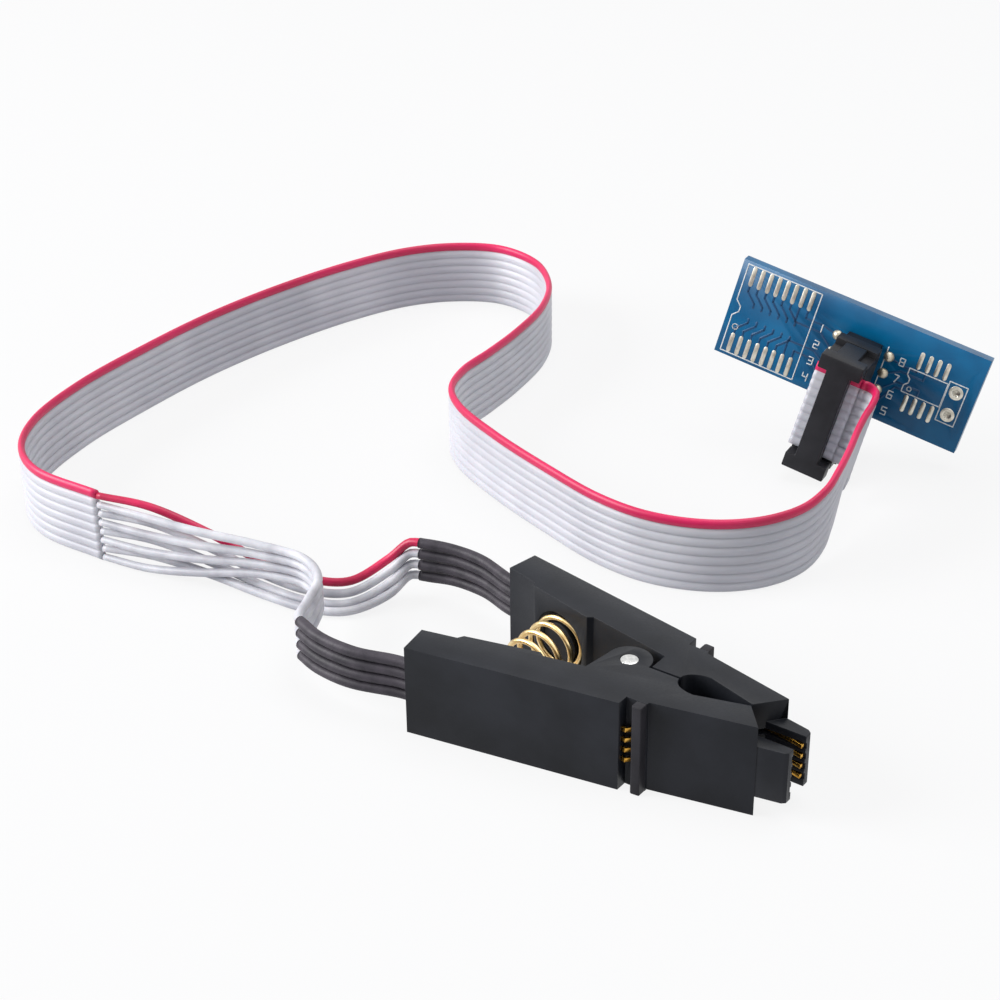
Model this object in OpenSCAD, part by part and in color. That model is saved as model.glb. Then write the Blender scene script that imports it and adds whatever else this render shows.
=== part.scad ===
// Test clip for an eight lead surface mount chip, with its ribbon cable and adapter board.
// The clip lies on its side: +Z runs along the pivot pin and +X points to the nose.
// Millimetres. The origin is under the middle of the clip, on the surface it lies on.

/* [Clip] */
// Height of the clip, measured along the pivot pin
clip_h = 11.1; // [10.8:0.1:13.4]
// Distance from the pivot to the rear end of a jaw
handle_len = 21.9; // [20:0.1:26.4]
// Distance from the pivot to the shoulder behind the nose
shoulder_len = 17.7; // [16.9:0.1:19]
// Length of the nose ahead of the shoulder
nose_len = 3.2; // [2.7:0.1:3.9]
// Half width across the closed handles at their rear ends
tail_half_w = 12.3; // [12:0.1:14.8]
// Half width across the keeper bars
waist_half_w = 7.2; // [7:0.05:7.8]
// Half width across the shoulders
shoulder_half_w = 3.2; // [3:0.05:3.8]
// Lead spacing of the chip that the clip takes
lead_pitch = 1.27; // [1.2:0.01:1.4]

/* [Pivot] */
// Diameter of the pivot pin
pin_d = 2.1; // [1.7:0.05:2.5]
// Outer radius of the ears round the pin
ear_r = 2.55; // [2.1:0.05:2.7]
// Thickness of the outer ears
outer_ear_t = 2.4; // [2:0.1:2.8]
// Thickness of the inner ears
inner_ear_t = 1.8; // [1.4:0.1:2.2]
// Radial clearance of the pin in the ears that turn on it
pin_gap = 0.05; // [0.02:0.01:0.1]

/* [Spring] */
// Outer diameter of the spring
spring_d = 6.9; // [5.8:0.1:7.4]
// Diameter of the spring wire
spring_wire_d = 0.66; // [0.5:0.02:0.8]
// Number of turns, with one closed turn at each end
spring_turns = 7; // [5:1:8]

/* [Nose] */
// Height of the nose
nose_h = 6.3; // [6:0.1:7.4]
// Distance from the middle plane to the inner face of each nose
nose_gap = 1.35; // [1.2:0.05:1.5]
// Width of a contact slot
slot_w = 0.72; // [0.6:0.02:0.86]
// Width of a contact strip
contact_w = 0.5; // [0.4:0.02:0.56]
// Thickness of a contact strip
contact_t = 0.35; // [0.25:0.01:0.4]

/* [Cable] */
// Spacing of the conductors in the ribbon
wire_pitch = 1.27; // [1.25:0.01:1.3]
// Thickness of the ribbon
ribbon_t = 0.9; // [0.8:0.05:1]
// Diameter of a single wire
wire_d = 1.1; // [0.9:0.02:1.14]
// Diameter of a heat shrink sleeve
sleeve_d = 1.34; // [1.12:0.02:1.36]

/* [Connector] */
// Pin spacing of the connector
pin_pitch = 2.54; // [2.5:0.01:2.6]
// Width of the connector housing
idc_w = 6; // [5.6:0.1:6.4]
// Length of the connector housing
idc_len = 17.4; // [17:0.1:18]
// Height of the connector body below the cable
idc_body_h = 6.3; // [6:0.1:7]
// Height of the connector cover above the cable
idc_cover_h = 2.1; // [1.8:0.1:2.6]
// Side of a square connector pin
pin_side = 0.64; // [0.5:0.02:0.7]

/* [Board] */
// Length of the adapter board
board_len = 36.4; // [35.6:0.1:37]
// Width of the adapter board
board_w = 14.4; // [14:0.1:15.4]
// Thickness of the adapter board
board_t = 1.6; // [1.2:0.1:2]

/* [Hidden] */

$fn = 48;

// Jaws, seen along the pin with the pivot at the origin
pivot_x = 0.5;
mid_z = clip_h / 2;
part_gap = 0.15;
ear_gap = 0.25;
tail_x = -handle_len + 0.7;
keeper_x = 5;
keeper_end = 6.2;
keeper_step = 1.4;
slot_x = 3.7;
slot_floor = 6.2;
web_x = ear_r + 0.25;
web_end = 6.35;
notch_y = 2.7;
lens_x = 9.1;
lens_deep = 1.75;
tip_x = shoulder_len - 2.6;
nose_x = shoulder_len + nose_len;
row_z = [for (k = [0:3]) mid_z + (1.5 - k) * lead_pitch];
contact_path = [[-17.5, -10.3], [-8, -8.3], [2.6, -6.6], [4.1, -6.9], [5, -5.85], [6.6, -4.9],
    [9.5, -3.4], [15, -2.2], [nose_x - 1.6, -1.55], [nose_x - 0.3, -1.22]];
slot_play = 0.17;

// Spring and its seats
spring_x = -13;
spring_r = (spring_d - spring_wire_d) / 2;
seat_y = 6.5;
seat_r = spring_d / 2 + 0.3;
post_r = spring_r - spring_wire_d / 2 - 0.35;
post_h = 1.4;

// Sleeves and wires
sleeve_pitch = 1.37;
sleeve_fan = [1, 1, 1.04, 1.08, 1.12];
sleeve_drop = [0, 0, 0.1, 0.2, 0.3];
sleeve_z = [for (k = [0:3]) [for (j = [0:4])
    mid_z - sleeve_drop[j] + (1.5 - k) * sleeve_pitch * sleeve_fan[j]]];
socket_x = -17;
front_sleeve_xy = [[socket_x, -10.3], [-22.5, -10.5], [-28.5, -12], [-33.5, -11.8], [-37.5, -10.5]];
rear_sleeve_xy = [[socket_x, 10.3], [-22.5, 10.6], [-28.5, 12.5], [-33, 12.7], [-37.5, 11.6]];
ways = 8;
spare_ways = 2;
all_ways = ways + spare_ways;
conductor_z = [for (i = [0:ways - 1]) (ways - 0.5 - i) * wire_pitch];

// Wires from the split of the ribbon to the sleeves. Each group shares one route seen from
// above, and its height goes from the conductor to the crossing and on to the sleeve.
split_xy = [-76, -5];
front_wire_xy = [[-75.8, -5], [-69, -4], [-62, -2.5], [-54, 0], [-47, 1], [-42.5, -1.5], [-39.8, -6.5],
    [-38.4, -9.6], [-37.8, -10.3]];
rear_wire_xy = [[-75.8, -5], [-69, -2.6], [-62, 0.5], [-55, 3], [-48.5, 3.8], [-44, 6], [-41, 9.8],
    [-38.9, 11.3], [-37.8, 11.55]];
front_to_crossing = [0, 0.05, 0.4, 0.85, 1, 1, 1, 1, 1];
front_to_sleeve = [0, 0, 0, 0, 0, 0.2, 0.75, 1, 1];
front_crossing_z = [7.2, 6, 4.8, 3.6];
rear_to_crossing = [0, 0.08, 0.5, 0.95, 1, 1, 1, 1, 1];
rear_to_sleeve = [0, 0, 0, 0, 0, 0.05, 0.5, 0.94, 1];
rear_crossing_z = [2.4, 1.6, 0.9, 0.7];
rear_spread = [0, 0, 0.7, 1.4, 1.4, 1.35, 1.1, 0.1, 0];
no_spread = [for (x = rear_spread) 0];

// Adapter board: x along it, y across it, z out of its printed side
board_pos = [-31.6, 74.6, 18.5];
board_rot = [85, 14, 10];
header_x = 19.6;
first_pin_y = 2.1;
header_h = 2.54;
pins_above = 5.6;
pins_below = 1.2;
dip_row = 3.81;
dip_pin_side = 0.56;
dip_tip_d = 0.5;
dip_pin_len = 3.2;
hole_d = 1;
power_x = 33.6;
power_y = [-2.4, 1];

// Connector, in the board's frame
idc_z = header_h + 0.1;
idc_y = first_pin_y - 2.75 * pin_pitch;
cable_z = idc_z + idc_body_h;
ribbon_y = idc_y + spare_ways / 2 * wire_pitch;
spare_y = idc_y - ways / 2 * wire_pitch;
cable_mid_z = cable_z + ribbon_t / 2;
exit_x = header_x + idc_w / 2;
tail_out = 3.5;
leg_t = 0.9;
leg_w = 3;
leg_drop = 4;
bar_w = 3.3;
end_block = 2.1;

// Ribbon from the connector to the split: the first number of ribbon_lean goes with the
// connector's tilt, and a lean of 0 stands upright. Heights follow the lower edge.
ribbon_xyz = [[-6.4, 67.9, 10.1], [-5.4, 65.3, 9.9], [-4.7, 61.9, 9.5], [-4, 58.8, 8.9], [-3, 55.3, 8.1],
    [-2, 51.3, 7.1], [-1.4, 47.6, 6.1], [-1.7, 43.5, 5.3], [-3.4, 38.6, 5.2], [-6.6, 34.6, 5.2],
    [-11, 31.8, 5.2], [-17, 30.2, 5.2], [-24, 30.6, 5.2], [-34, 33.4, 5.2], [-45, 37.2, 5.2], [-54, 41.4, 5.2], [-58.4, 45.4, 5.2],
    [-60.6, 51, 5.2], [-61.2, 58, 5.2], [-62.2, 66, 5.2], [-64.6, 76, 5.2], [-69, 84, 5.2],
    [-76, 90, 5.2], [-84, 91.4, 5.2], [-90.6, 88, 5.2], [-95.6, 82, 5.2], [-99.4, 72, 5.2],
    [-102.2, 58, 5.2], [-103.4, 44, 5.2], [-103, 30, 5.2], [-101.6, 16, 5.2], [-98.4, 5, 5.2],
    [-93.6, -1.6, 5.2], [-87, -5, 5.2], [split_xy[0], split_xy[1], 5.2]];
ribbon_lean = [0.97, 0.93, 0.88, 0.8, 0.65, 0.45, 0.28, 0.12];

// ---------------------------------------------------------------- sweeps

function unit(v) = v / norm(v);

function tangent(p, i) = unit(p[min(i + 1, len(p) - 1)] - p[max(i - 1, 0)]);

function reversed(p) = [for (i = [len(p) - 1:-1:0]) p[i]];

// One ring of a sweep: a section's second coordinate runs along up, made square to the path
function ring(p, i, section, up) =
    let (t = tangent(p, i), s = unit(cross(t, up)), w = cross(s, t))
    [for (q = section) p[i] + s * q[0] + w * q[1]];

function round_section(d, sides) = [for (k = [0:sides - 1]) d / 2 * [cos(360 * k / sides), sin(360 * k / sides)]];

// A flat strip with cut corners, w across and shifted by off
function strip_section(t, w, off = 0) =
    let (a = t / 2, b = w / 2, c = t / 4)
    [for (q = [[a, c - b], [a, b - c], [a - c, b], [c - a, b], [-a, b - c], [-a, c - b], [c - a, -b], [a - c, -b]])
        q + [0, off]];

// Closed solid along the points p, where ups holds the up direction at each point
module sweep(p, section, ups) {
    n = len(section);
    last = len(p) - 1;
    rings = [for (i = [0:last]) each ring(p, i, section, ups[i])];
    start_cap = [[for (k = [n - 1:-1:0]) k]];
    end_cap = [[for (k = [0:n - 1]) last * n + k]];
    sides = [for (i = [0:last - 1]) for (k = [0:n - 1])
        let (a = i * n + k, b = i * n + (k + 1) % n)
        each [[a, b, b + n], [a, b + n, a + n]]];
    polyhedron(rings, concat(start_cap, sides, end_cap), convexity = 8);
}

module tube(p, d) {
    sweep(p, round_section(d, 8), [for (q = p) [0, 0, 1]]);
}

// Flat outline of thickness t along the points p
function side(p, off) = [for (i = [0:len(p) - 1]) let (t = tangent(p, i)) p[i] + off * [-t[1], t[0]]];

module strip_plan(p, t) {
    polygon(concat(side(p, t / 2), reversed(side(p, -t / 2))));
}

// ---------------------------------------------------------------- jaws

// Full height outline of the jaw below the middle plane
module jaw_plan() {
    lens_edge = [for (a = [0:15:75]) [lens_x - (lens_x - web_end) * sin(a), -part_gap - lens_deep * cos(a)]];
    polygon(concat(
        [[tail_x, -tail_half_w],
            [keeper_end, -waist_half_w],
            [keeper_end, -waist_half_w + keeper_step],
            [shoulder_len, -shoulder_half_w],
            [tip_x, -part_gap]],
        lens_edge,
        [[web_end, -part_gap],
            [web_x, -part_gap],
            [web_x, -notch_y],
            [-7.9, -4.85],
            [-8.5, -4.4],
            [-17.3, -6.6],
            [-17.7, -7.3],
            [-handle_len, -8.25]]));
}

// The nose is set back into the body, where the contacts enter it
module nose_plan() {
    root_x = tip_x - 0.3;
    polygon([[root_x, -nose_gap],
        [root_x, -shoulder_half_w],
        [shoulder_len, -shoulder_half_w + 0.05],
        [nose_x - 0.4, -shoulder_half_w + 0.6],
        [nose_x, -shoulder_half_w + 0.95],
        [nose_x, -nose_gap]]);
}

// An ear is a ring round the pin on a neck that joins it to the jaw and its web
module ear_plan() {
    neck_y = -4.6;
    circle(r = ear_r);
    polygon([[-ear_r, 0],
        [ear_r, 0],
        [ear_r, -part_gap],
        [web_x + 0.3, -part_gap],
        [web_x + 0.3, neck_y],
        [-ear_r - 0.6, neck_y]]);
}

// Room for one contact: a channel through the jaw that opens to the lens and the nose
module contact_channel() {
    channel_t = contact_t + 2 * slot_play;
    open_from = 6;
    last = len(contact_path) - 1;
    outer = side(contact_path, -channel_t / 2);
    strip_plan(contact_path, channel_t);
    polygon(concat(
        [for (i = [open_from:last]) outer[i]],
        [[nose_x + 1, outer[last][1]],
            [nose_x + 1, 0.5],
            [contact_path[open_from][0], 0.5]]));
}

module spring_seat() {
    translate([spring_x, -seat_y, mid_z]) rotate([-90, 0, 0]) difference() {
        cylinder(r = seat_r, h = seat_y);
        translate([0, 0, -1]) cylinder(r = post_r, h = post_h + 1);
    }
}

module sleeve_socket() {
    h = 3 * sleeve_pitch + sleeve_d + 0.3;
    w = sleeve_d + 0.7;
    from_x = -handle_len - 1;
    translate([from_x, -10.4 - w / 2, mid_z - h / 2]) cube([socket_x - pivot_x + part_gap - from_x, w, h]);
}

// One jaw in pivot coordinates. The other one is the same moulding turned over.
module jaw(bore_d) {
    difference() {
        union() {
            linear_extrude(clip_h) jaw_plan();
            translate([0, 0, mid_z - nose_h / 2]) linear_extrude(nose_h) nose_plan();
            translate([0, 0, clip_h - outer_ear_t]) linear_extrude(outer_ear_t) ear_plan();
            translate([0, 0, outer_ear_t + ear_gap]) linear_extrude(inner_ear_t) ear_plan();
        }
        translate([0, 0, -1]) cylinder(d = bore_d, h = clip_h + 2);
        spring_seat();
        sleeve_socket();
        translate([slot_x, -waist_half_w - 2, -1]) cube([keeper_end - slot_x, waist_half_w + 2 - slot_floor, clip_h + 2]);
        for (z = row_z)
            translate([0, 0, z - slot_w / 2]) linear_extrude(slot_w) contact_channel();
    }
}

module contacts() {
    for (z = row_z)
        translate([0, 0, z - contact_w / 2]) linear_extrude(contact_w) strip_plan(contact_path, contact_t);
}

// The bar that holds the contacts down in the outer slot
module keeper() {
    proud = 0.15;
    linear_extrude(clip_h)
        polygon([[keeper_x, -slot_floor],
            [keeper_end, -slot_floor],
            [keeper_end, -waist_half_w - proud],
            [keeper_x + 0.2, -waist_half_w - proud - 0.1],
            [keeper_x, -waist_half_w - proud + 0.1]]);
}

module at_pivot() {
    translate([pivot_x, 0, 0]) children();
}

module turned_over() {
    at_pivot() translate([0, 0, clip_h]) rotate([180, 0, 0]) children();
}

module front_jaw() {
    color([0.13, 0.13, 0.15]) at_pivot() jaw(pin_d);
}

module rear_jaw() {
    color([0.13, 0.13, 0.15]) turned_over() jaw(pin_d + 2 * pin_gap);
}

module front_contacts() {
    color([0.85, 0.65, 0.25]) at_pivot() contacts();
}

module rear_contacts() {
    color([0.85, 0.65, 0.25]) turned_over() contacts();
}

module front_keeper() {
    color([0.17, 0.16, 0.18]) at_pivot() keeper();
}

module rear_keeper() {
    color([0.17, 0.16, 0.18]) turned_over() keeper();
}

module pivot_pin() {
    color([0.85, 0.86, 0.86]) at_pivot() cylinder(d = pin_d, h = clip_h);
}

// Compression spring across the handles, with one flat closed turn at each end
module spring() {
    steps = 14;
    span = 2 * seat_y - spring_wire_d;
    close = spring_wire_d * 1.05;
    pitch = (span - 2 * close) / (spring_turns - 2);
    count = spring_turns * steps;
    coil = [for (i = [0:count])
        let (turn = i / steps, a = 360 * turn,
            y = turn < 1 ? turn * close
                : turn > spring_turns - 1 ? span - (spring_turns - turn) * close
                : close + (turn - 1) * pitch)
        [spring_x + pivot_x + spring_r * cos(a), y - span / 2, mid_z + spring_r * sin(a)]];
    color([0.83, 0.68, 0.42]) sweep(coil, round_section(spring_wire_d, 8), [for (p = coil) [0, 1, 0]]);
}

// ---------------------------------------------------------------- cable

module sleeves(xy) {
    color([0.27, 0.26, 0.29])
        for (z = sleeve_z)
            tube([for (j = [0:4]) [xy[j][0], xy[j][1], z[j]]], sleeve_d);
}

module front_sleeves() {
    sleeves(front_sleeve_xy);
}

module rear_sleeves() {
    sleeves(rear_sleeve_xy);
}

// heights holds the wire's height at the ribbon, at the crossing and at its sleeve
module wire(xy, heights, down, up, shift) {
    tube([for (i = [0:len(xy) - 1])
        [xy[i][0] + 0.6 * shift[i], xy[i][1] - 0.8 * shift[i],
            heights[0] + (heights[1] - heights[0]) * down[i] + (heights[2] - heights[1]) * up[i]]], wire_d);
}

module front_wire(k) {
    color([0.86, 0.86, 0.88])
        wire(front_wire_xy, [conductor_z[2 * k + 1], front_crossing_z[k], sleeve_z[k][4]],
            front_to_crossing, front_to_sleeve, no_spread);
}

module rear_wire(k) {
    color(k == 0 ? [0.86, 0.1, 0.36] : [0.86, 0.86, 0.88])
        wire(rear_wire_xy, [conductor_z[2 * k], rear_crossing_z[k], sleeve_z[k][4]],
            rear_to_crossing, rear_to_sleeve, rear_spread * k);
}

// A point or a direction of the board's frame
function turned(v) =
    let (a = board_rot,
        x = [v[0], v[1] * cos(a[0]) - v[2] * sin(a[0]), v[1] * sin(a[0]) + v[2] * cos(a[0])],
        y = [x[0] * cos(a[1]) + x[2] * sin(a[1]), x[1], x[2] * cos(a[1]) - x[0] * sin(a[1])])
    [y[0] * cos(a[2]) - y[1] * sin(a[2]), y[0] * sin(a[2]) + y[1] * cos(a[2]), y[2]];

function on_board(p) = board_pos + turned(p);

function leaning(lean) = unit(turned([0, 1, 0]) * lean + [0, 0, 1] * (1 - lean));

ribbon_exit = [for (d = [0, 1]) on_board([exit_x + d, ribbon_y, cable_mid_z])];
ribbon_path = concat(ribbon_exit, ribbon_xyz);
ribbon_ups = [for (i = [0:len(ribbon_path) - 1])
    leaning(i < 2 ? 1 : i - 2 < len(ribbon_lean) ? ribbon_lean[i - 2] : 0)];

module ribbon() {
    color([0.62, 0.62, 0.66]) sweep(ribbon_path, strip_section(ribbon_t, ways * wire_pitch), ribbon_ups);
}

// The two outer conductors that the clip doesn't use, cut short behind the connector
module spare_conductors() {
    count = 5;
    off = -all_ways / 2 * wire_pitch - 0.01;
    color([0.62, 0.62, 0.66])
        sweep([for (i = [0:count - 1]) ribbon_path[i]],
            strip_section(ribbon_t, spare_ways * wire_pitch - 0.02, off),
            [for (i = [0:count - 1]) ribbon_ups[i]]);
}

module board_frame() {
    translate(board_pos) rotate(board_rot) children();
}

// The flat stretch of cable that the connector clamps, with its cut end
module ribbon_end() {
    from_x = header_x - tail_out;
    color([0.8, 0.8, 0.84]) board_frame() {
        for (i = [0:all_ways - 1])
            translate([from_x, idc_y + (i - (all_ways - 1) / 2) * wire_pitch, cable_mid_z])
                rotate([0, 90, 0]) cylinder(d = ribbon_t, h = exit_x - from_x);
        translate([from_x, idc_y - (all_ways - 1) / 2 * wire_pitch, cable_mid_z - 0.15])
            cube([exit_x - from_x, (all_ways - 1) * wire_pitch, 0.3]);
    }
}

// ---------------------------------------------------------------- connector

module each_socket(rows) {
    for (k = [0:rows - 1])
        for (s = [-1, 1])
            translate([header_x + s * pin_pitch / 2, first_pin_y - k * pin_pitch, 0]) children();
}

module block(x, y, size) {
    translate([x - size[0] / 2, y - size[1] / 2, 0]) cube(size);
}

module idc_body() {
    hole = pin_side + 0.3;
    pocket = 1.5;
    color([0.12, 0.12, 0.13]) board_frame() difference() {
        union() {
            translate([0, 0, idc_z]) block(header_x, idc_y, [idc_w, idc_len - 2 * leg_t, idc_body_h]);
            translate([0, 0, idc_z]) block(header_x, idc_y, [idc_w, idc_len, idc_body_h - leg_drop]);
        }
        each_socket(6) translate([0, 0, idc_z - 1]) block(0, 0, [hole, hole, idc_body_h]);
        each_socket(6) translate([0, 0, idc_z + 1.2]) block(0, 0, [pocket, 1, idc_body_h]);
    }
}

module idc_cover() {
    z = cable_z + ribbon_t;
    color([0.14, 0.14, 0.15]) board_frame() {
        translate([0, 0, z]) block(header_x, idc_y, [bar_w, idc_len, idc_cover_h]);
        for (s = [-1, 1]) {
            translate([0, 0, z - 0.3]) block(header_x, idc_y + s * (idc_len - end_block) / 2,
                [idc_w, end_block, idc_cover_h + 0.3]);
            translate([0, 0, cable_z - leg_drop + 0.1]) block(header_x, idc_y + s * (idc_len - leg_t + 0.1) / 2,
                [leg_w, leg_t - 0.1, leg_drop + ribbon_t]);
        }
    }
}

// Each contact is a flat fork beside its pin that reaches up to the cable
module idc_contacts() {
    t = 0.3;
    color([0.8, 0.66, 0.35]) board_frame()
        for (k = [0:4])
            for (s = [-1, 1])
                translate([header_x + s * (pin_pitch / 2 + 0.6), first_pin_y - k * pin_pitch, idc_z + 1.3])
                    block(0, 0, [t, 0.8, idc_body_h - 1.3]);
}

// ---------------------------------------------------------------- board

module each_dip_pin() {
    for (k = [0:3])
        for (s = [-1, 1])
            translate([header_x + s * dip_row, first_pin_y - k * pin_pitch, 0]) children();
}

module board() {
    color([0.0, 0.32, 0.52]) board_frame() difference() {
        translate([0, -board_w / 2, -board_t]) cube([board_len, board_w, board_t]);
        each_socket(4) translate([0, 0, -board_t - 1]) cylinder(d = hole_d, h = board_t + 2);
        each_dip_pin() translate([0, 0, -board_t - 1]) cylinder(d = hole_d - 0.2, h = board_t + 2);
        for (y = power_y)
            translate([power_x, y, -board_t - 1]) cylinder(d = hole_d, h = board_t + 2);
    }
}

module header_base() {
    play = 0.04;
    row_y = first_pin_y - 1.5 * pin_pitch;
    color([0.1, 0.1, 0.11]) board_frame() difference() {
        block(header_x, row_y, [2 * pin_pitch - 0.1, 4 * pin_pitch, header_h]);
        each_socket(4) translate([0, 0, -1]) block(0, 0, [pin_side + play, pin_side + play, header_h + 2]);
    }
}

module header_pins() {
    h = board_t + pins_below + header_h + pins_above;
    color([0.8, 0.7, 0.45]) board_frame()
        each_socket(4) translate([0, 0, -board_t - pins_below]) block(0, 0, [pin_side, pin_side, h]);
}

// Plastic strip of four contact pins under the board
module dip_strip(s) {
    color([0.1, 0.1, 0.11]) board_frame() difference() {
        translate([0, 0, -board_t - header_h])
            block(header_x + s * dip_row, first_pin_y - 1.5 * pin_pitch, [pin_pitch - 0.1, 4 * pin_pitch, header_h]);
        each_dip_pin() translate([0, 0, -board_t - header_h - 1])
            block(0, 0, [dip_pin_side + 0.04, dip_pin_side + 0.04, header_h + 2]);
    }
}

module dip_strip_left() {
    dip_strip(-1);
}

module dip_strip_right() {
    dip_strip(1);
}

module dip_pins() {
    h = board_t + header_h;
    color([0.82, 0.78, 0.6]) board_frame() each_dip_pin() {
        translate([0, 0, -h]) block(0, 0, [dip_pin_side, dip_pin_side, h]);
        translate([0, 0, -h - dip_pin_len]) cylinder(d = dip_tip_d, h = dip_pin_len);
    }
}

module dip_solder() {
    r = 0.8;
    color([0.75, 0.73, 0.66]) board_frame()
        each_dip_pin() intersection() {
            translate([0, 0, -0.25]) sphere(r = r);
            translate([-1, -1, 0]) cube([2, 2, 1]);
        }
}

front_jaw();
rear_jaw();
pivot_pin();
spring();
front_contacts();
rear_contacts();
front_keeper();
rear_keeper();
front_sleeves();
rear_sleeves();
front_wire(0);  // front_wire_1
front_wire(1);  // front_wire_2
front_wire(2);  // front_wire_3
front_wire(3);  // front_wire_4
rear_wire(0);  // rear_wire_1
rear_wire(1);  // rear_wire_2
rear_wire(2);  // rear_wire_3
rear_wire(3);  // rear_wire_4
ribbon();
spare_conductors();
ribbon_end();
idc_body();
idc_cover();
idc_contacts();
board();
header_base();
header_pins();
dip_strip_left();
dip_strip_right();
dip_pins();
dip_solder();
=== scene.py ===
import math

import bmesh
import bpy
import numpy as np
from mathutils import Matrix, Vector


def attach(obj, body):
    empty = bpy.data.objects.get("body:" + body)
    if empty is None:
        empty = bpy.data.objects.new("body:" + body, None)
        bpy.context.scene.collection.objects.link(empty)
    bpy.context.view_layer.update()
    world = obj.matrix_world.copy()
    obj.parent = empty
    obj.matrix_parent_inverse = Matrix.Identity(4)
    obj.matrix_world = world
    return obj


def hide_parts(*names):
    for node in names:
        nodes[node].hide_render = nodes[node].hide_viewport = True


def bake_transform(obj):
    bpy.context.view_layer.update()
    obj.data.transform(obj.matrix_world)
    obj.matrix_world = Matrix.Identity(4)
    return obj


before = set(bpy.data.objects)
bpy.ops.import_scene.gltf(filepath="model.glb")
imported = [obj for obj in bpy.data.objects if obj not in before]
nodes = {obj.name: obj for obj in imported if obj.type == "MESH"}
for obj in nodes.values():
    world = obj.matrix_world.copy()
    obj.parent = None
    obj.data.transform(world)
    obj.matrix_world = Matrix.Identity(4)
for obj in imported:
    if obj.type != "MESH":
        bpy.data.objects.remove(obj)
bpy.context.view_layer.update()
MM = 0.001

# ---------------------------------------------------------------- camera, light and floor
# The clip lies on a white table under soft light that comes mostly from the left.
# The camera stands 13 cm over the table, at about 23 cm from the clip.
scene = bpy.context.scene
scene.view_settings.view_transform = "Standard"
CAMERA_AT = (0.09902, -0.15581, 0.13034)
CAMERA_TURN, CAMERA_TILT, CAMERA_ROLL = 36.57, 61.54, -0.66


def turn(degrees, axis):
    return Matrix.Rotation(math.radians(degrees), 4, axis)


camera = bpy.data.objects.new("camera", bpy.data.cameras.new("camera"))
camera.data.lens = 73.24
camera.data.sensor_width = 36.0
camera.data.clip_start = 0.01
camera.matrix_world = (Matrix.Translation(CAMERA_AT) @ turn(CAMERA_TURN, "Z")
                       @ turn(CAMERA_TILT, "X") @ turn(CAMERA_ROLL, "Z"))
scene.collection.objects.link(camera)
scene.camera = camera


def soft_light(name, at, aim, size, power):
    """A square lamp that faces the point aim."""
    lamp = bpy.data.lights.new(name, "AREA")
    lamp.size, lamp.energy = size, power
    light = bpy.data.objects.new(name, lamp)
    to_aim = Vector(aim) - Vector(at)
    light.location = at
    light.rotation_euler = to_aim.to_track_quat("-Z", "Y").to_euler()
    scene.collection.objects.link(light)


MIDDLE = (-0.03, 0.03, 0.0)
soft_light("window_left", (-0.60, -0.42, 0.36), MIDDLE, 0.45, 8.0)
soft_light("panel_above", (0.05, 0.20, 0.70), MIDDLE, 0.60, 3.4)
soft_light("panel_right", (0.55, -0.20, 0.35), MIDDLE, 0.50, 0.5)


def seen_directly(tree):
    """1 where the camera, a mirror or a clear piece looks straight at the surface."""
    path = tree.nodes.new("ShaderNodeLightPath")
    first = tree.nodes.new("ShaderNodeMath")
    first.operation = "MAXIMUM"
    both = tree.nodes.new("ShaderNodeMath")
    both.operation = "MAXIMUM"
    tree.links.new(path.outputs["Is Camera Ray"], first.inputs[0])
    tree.links.new(path.outputs["Is Glossy Ray"], first.inputs[1])
    tree.links.new(first.outputs[0], both.inputs[0])
    tree.links.new(path.outputs["Is Transmission Ray"], both.inputs[1])
    return both.outputs[0]


world = bpy.data.worlds.new("white_room")
world.use_nodes = True
scene.world = world
sky = world.node_tree
sky.nodes.clear()
room = sky.nodes.new("ShaderNodeBackground")
room.inputs["Color"].default_value = (0.93, 0.96, 1.0, 1.0)
room.inputs["Strength"].default_value = 0.26
backdrop = sky.nodes.new("ShaderNodeBackground")
backdrop.inputs["Color"].default_value = (1.0, 1.0, 1.0, 1.0)
backdrop.inputs["Strength"].default_value = 1.0
either = sky.nodes.new("ShaderNodeMixShader")
sky_out = sky.nodes.new("ShaderNodeOutputWorld")
sky.links.new(seen_directly(sky), either.inputs["Fac"])
sky.links.new(room.outputs[0], either.inputs[1])
sky.links.new(backdrop.outputs[0], either.inputs[2])
sky.links.new(either.outputs[0], sky_out.inputs["Surface"])

floor_mesh = bpy.data.meshes.new("table_top")
FLOOR_HALF, FLOOR_Z = 3, -2e-5
floor_corners = [(x * FLOOR_HALF, y * FLOOR_HALF, FLOOR_Z) for x, y in ((-1, -1), (1, -1), (1, 1), (-1, 1))]
floor_mesh.from_pydata(floor_corners, [], [(0, 1, 2, 3)])
floor = bpy.data.objects.new("table_top", floor_mesh)
scene.collection.objects.link(floor)
floor_look = bpy.data.materials.new("white_table")
floor_look.use_nodes = True
tree = floor_look.node_tree
tree.nodes.clear()
paint = tree.nodes.new("ShaderNodeBsdfDiffuse")
paint.inputs["Color"].default_value = (0.62, 0.62, 0.64, 1.0)
glow = tree.nodes.new("ShaderNodeEmission")
glow.inputs["Strength"].default_value = 1.0
share = tree.nodes.new("ShaderNodeMath")
share.operation = "MULTIPLY"
share.inputs[1].default_value = 0.86
paint_or_glow = tree.nodes.new("ShaderNodeMixShader")
floor_out = tree.nodes.new("ShaderNodeOutputMaterial")
tree.links.new(seen_directly(tree), share.inputs[0])
tree.links.new(share.outputs[0], paint_or_glow.inputs["Fac"])
tree.links.new(paint.outputs[0], paint_or_glow.inputs[1])
tree.links.new(glow.outputs[0], paint_or_glow.inputs[2])
tree.links.new(paint_or_glow.outputs[0], floor_out.inputs["Surface"])
floor_mesh.materials.append(floor_look)

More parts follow.
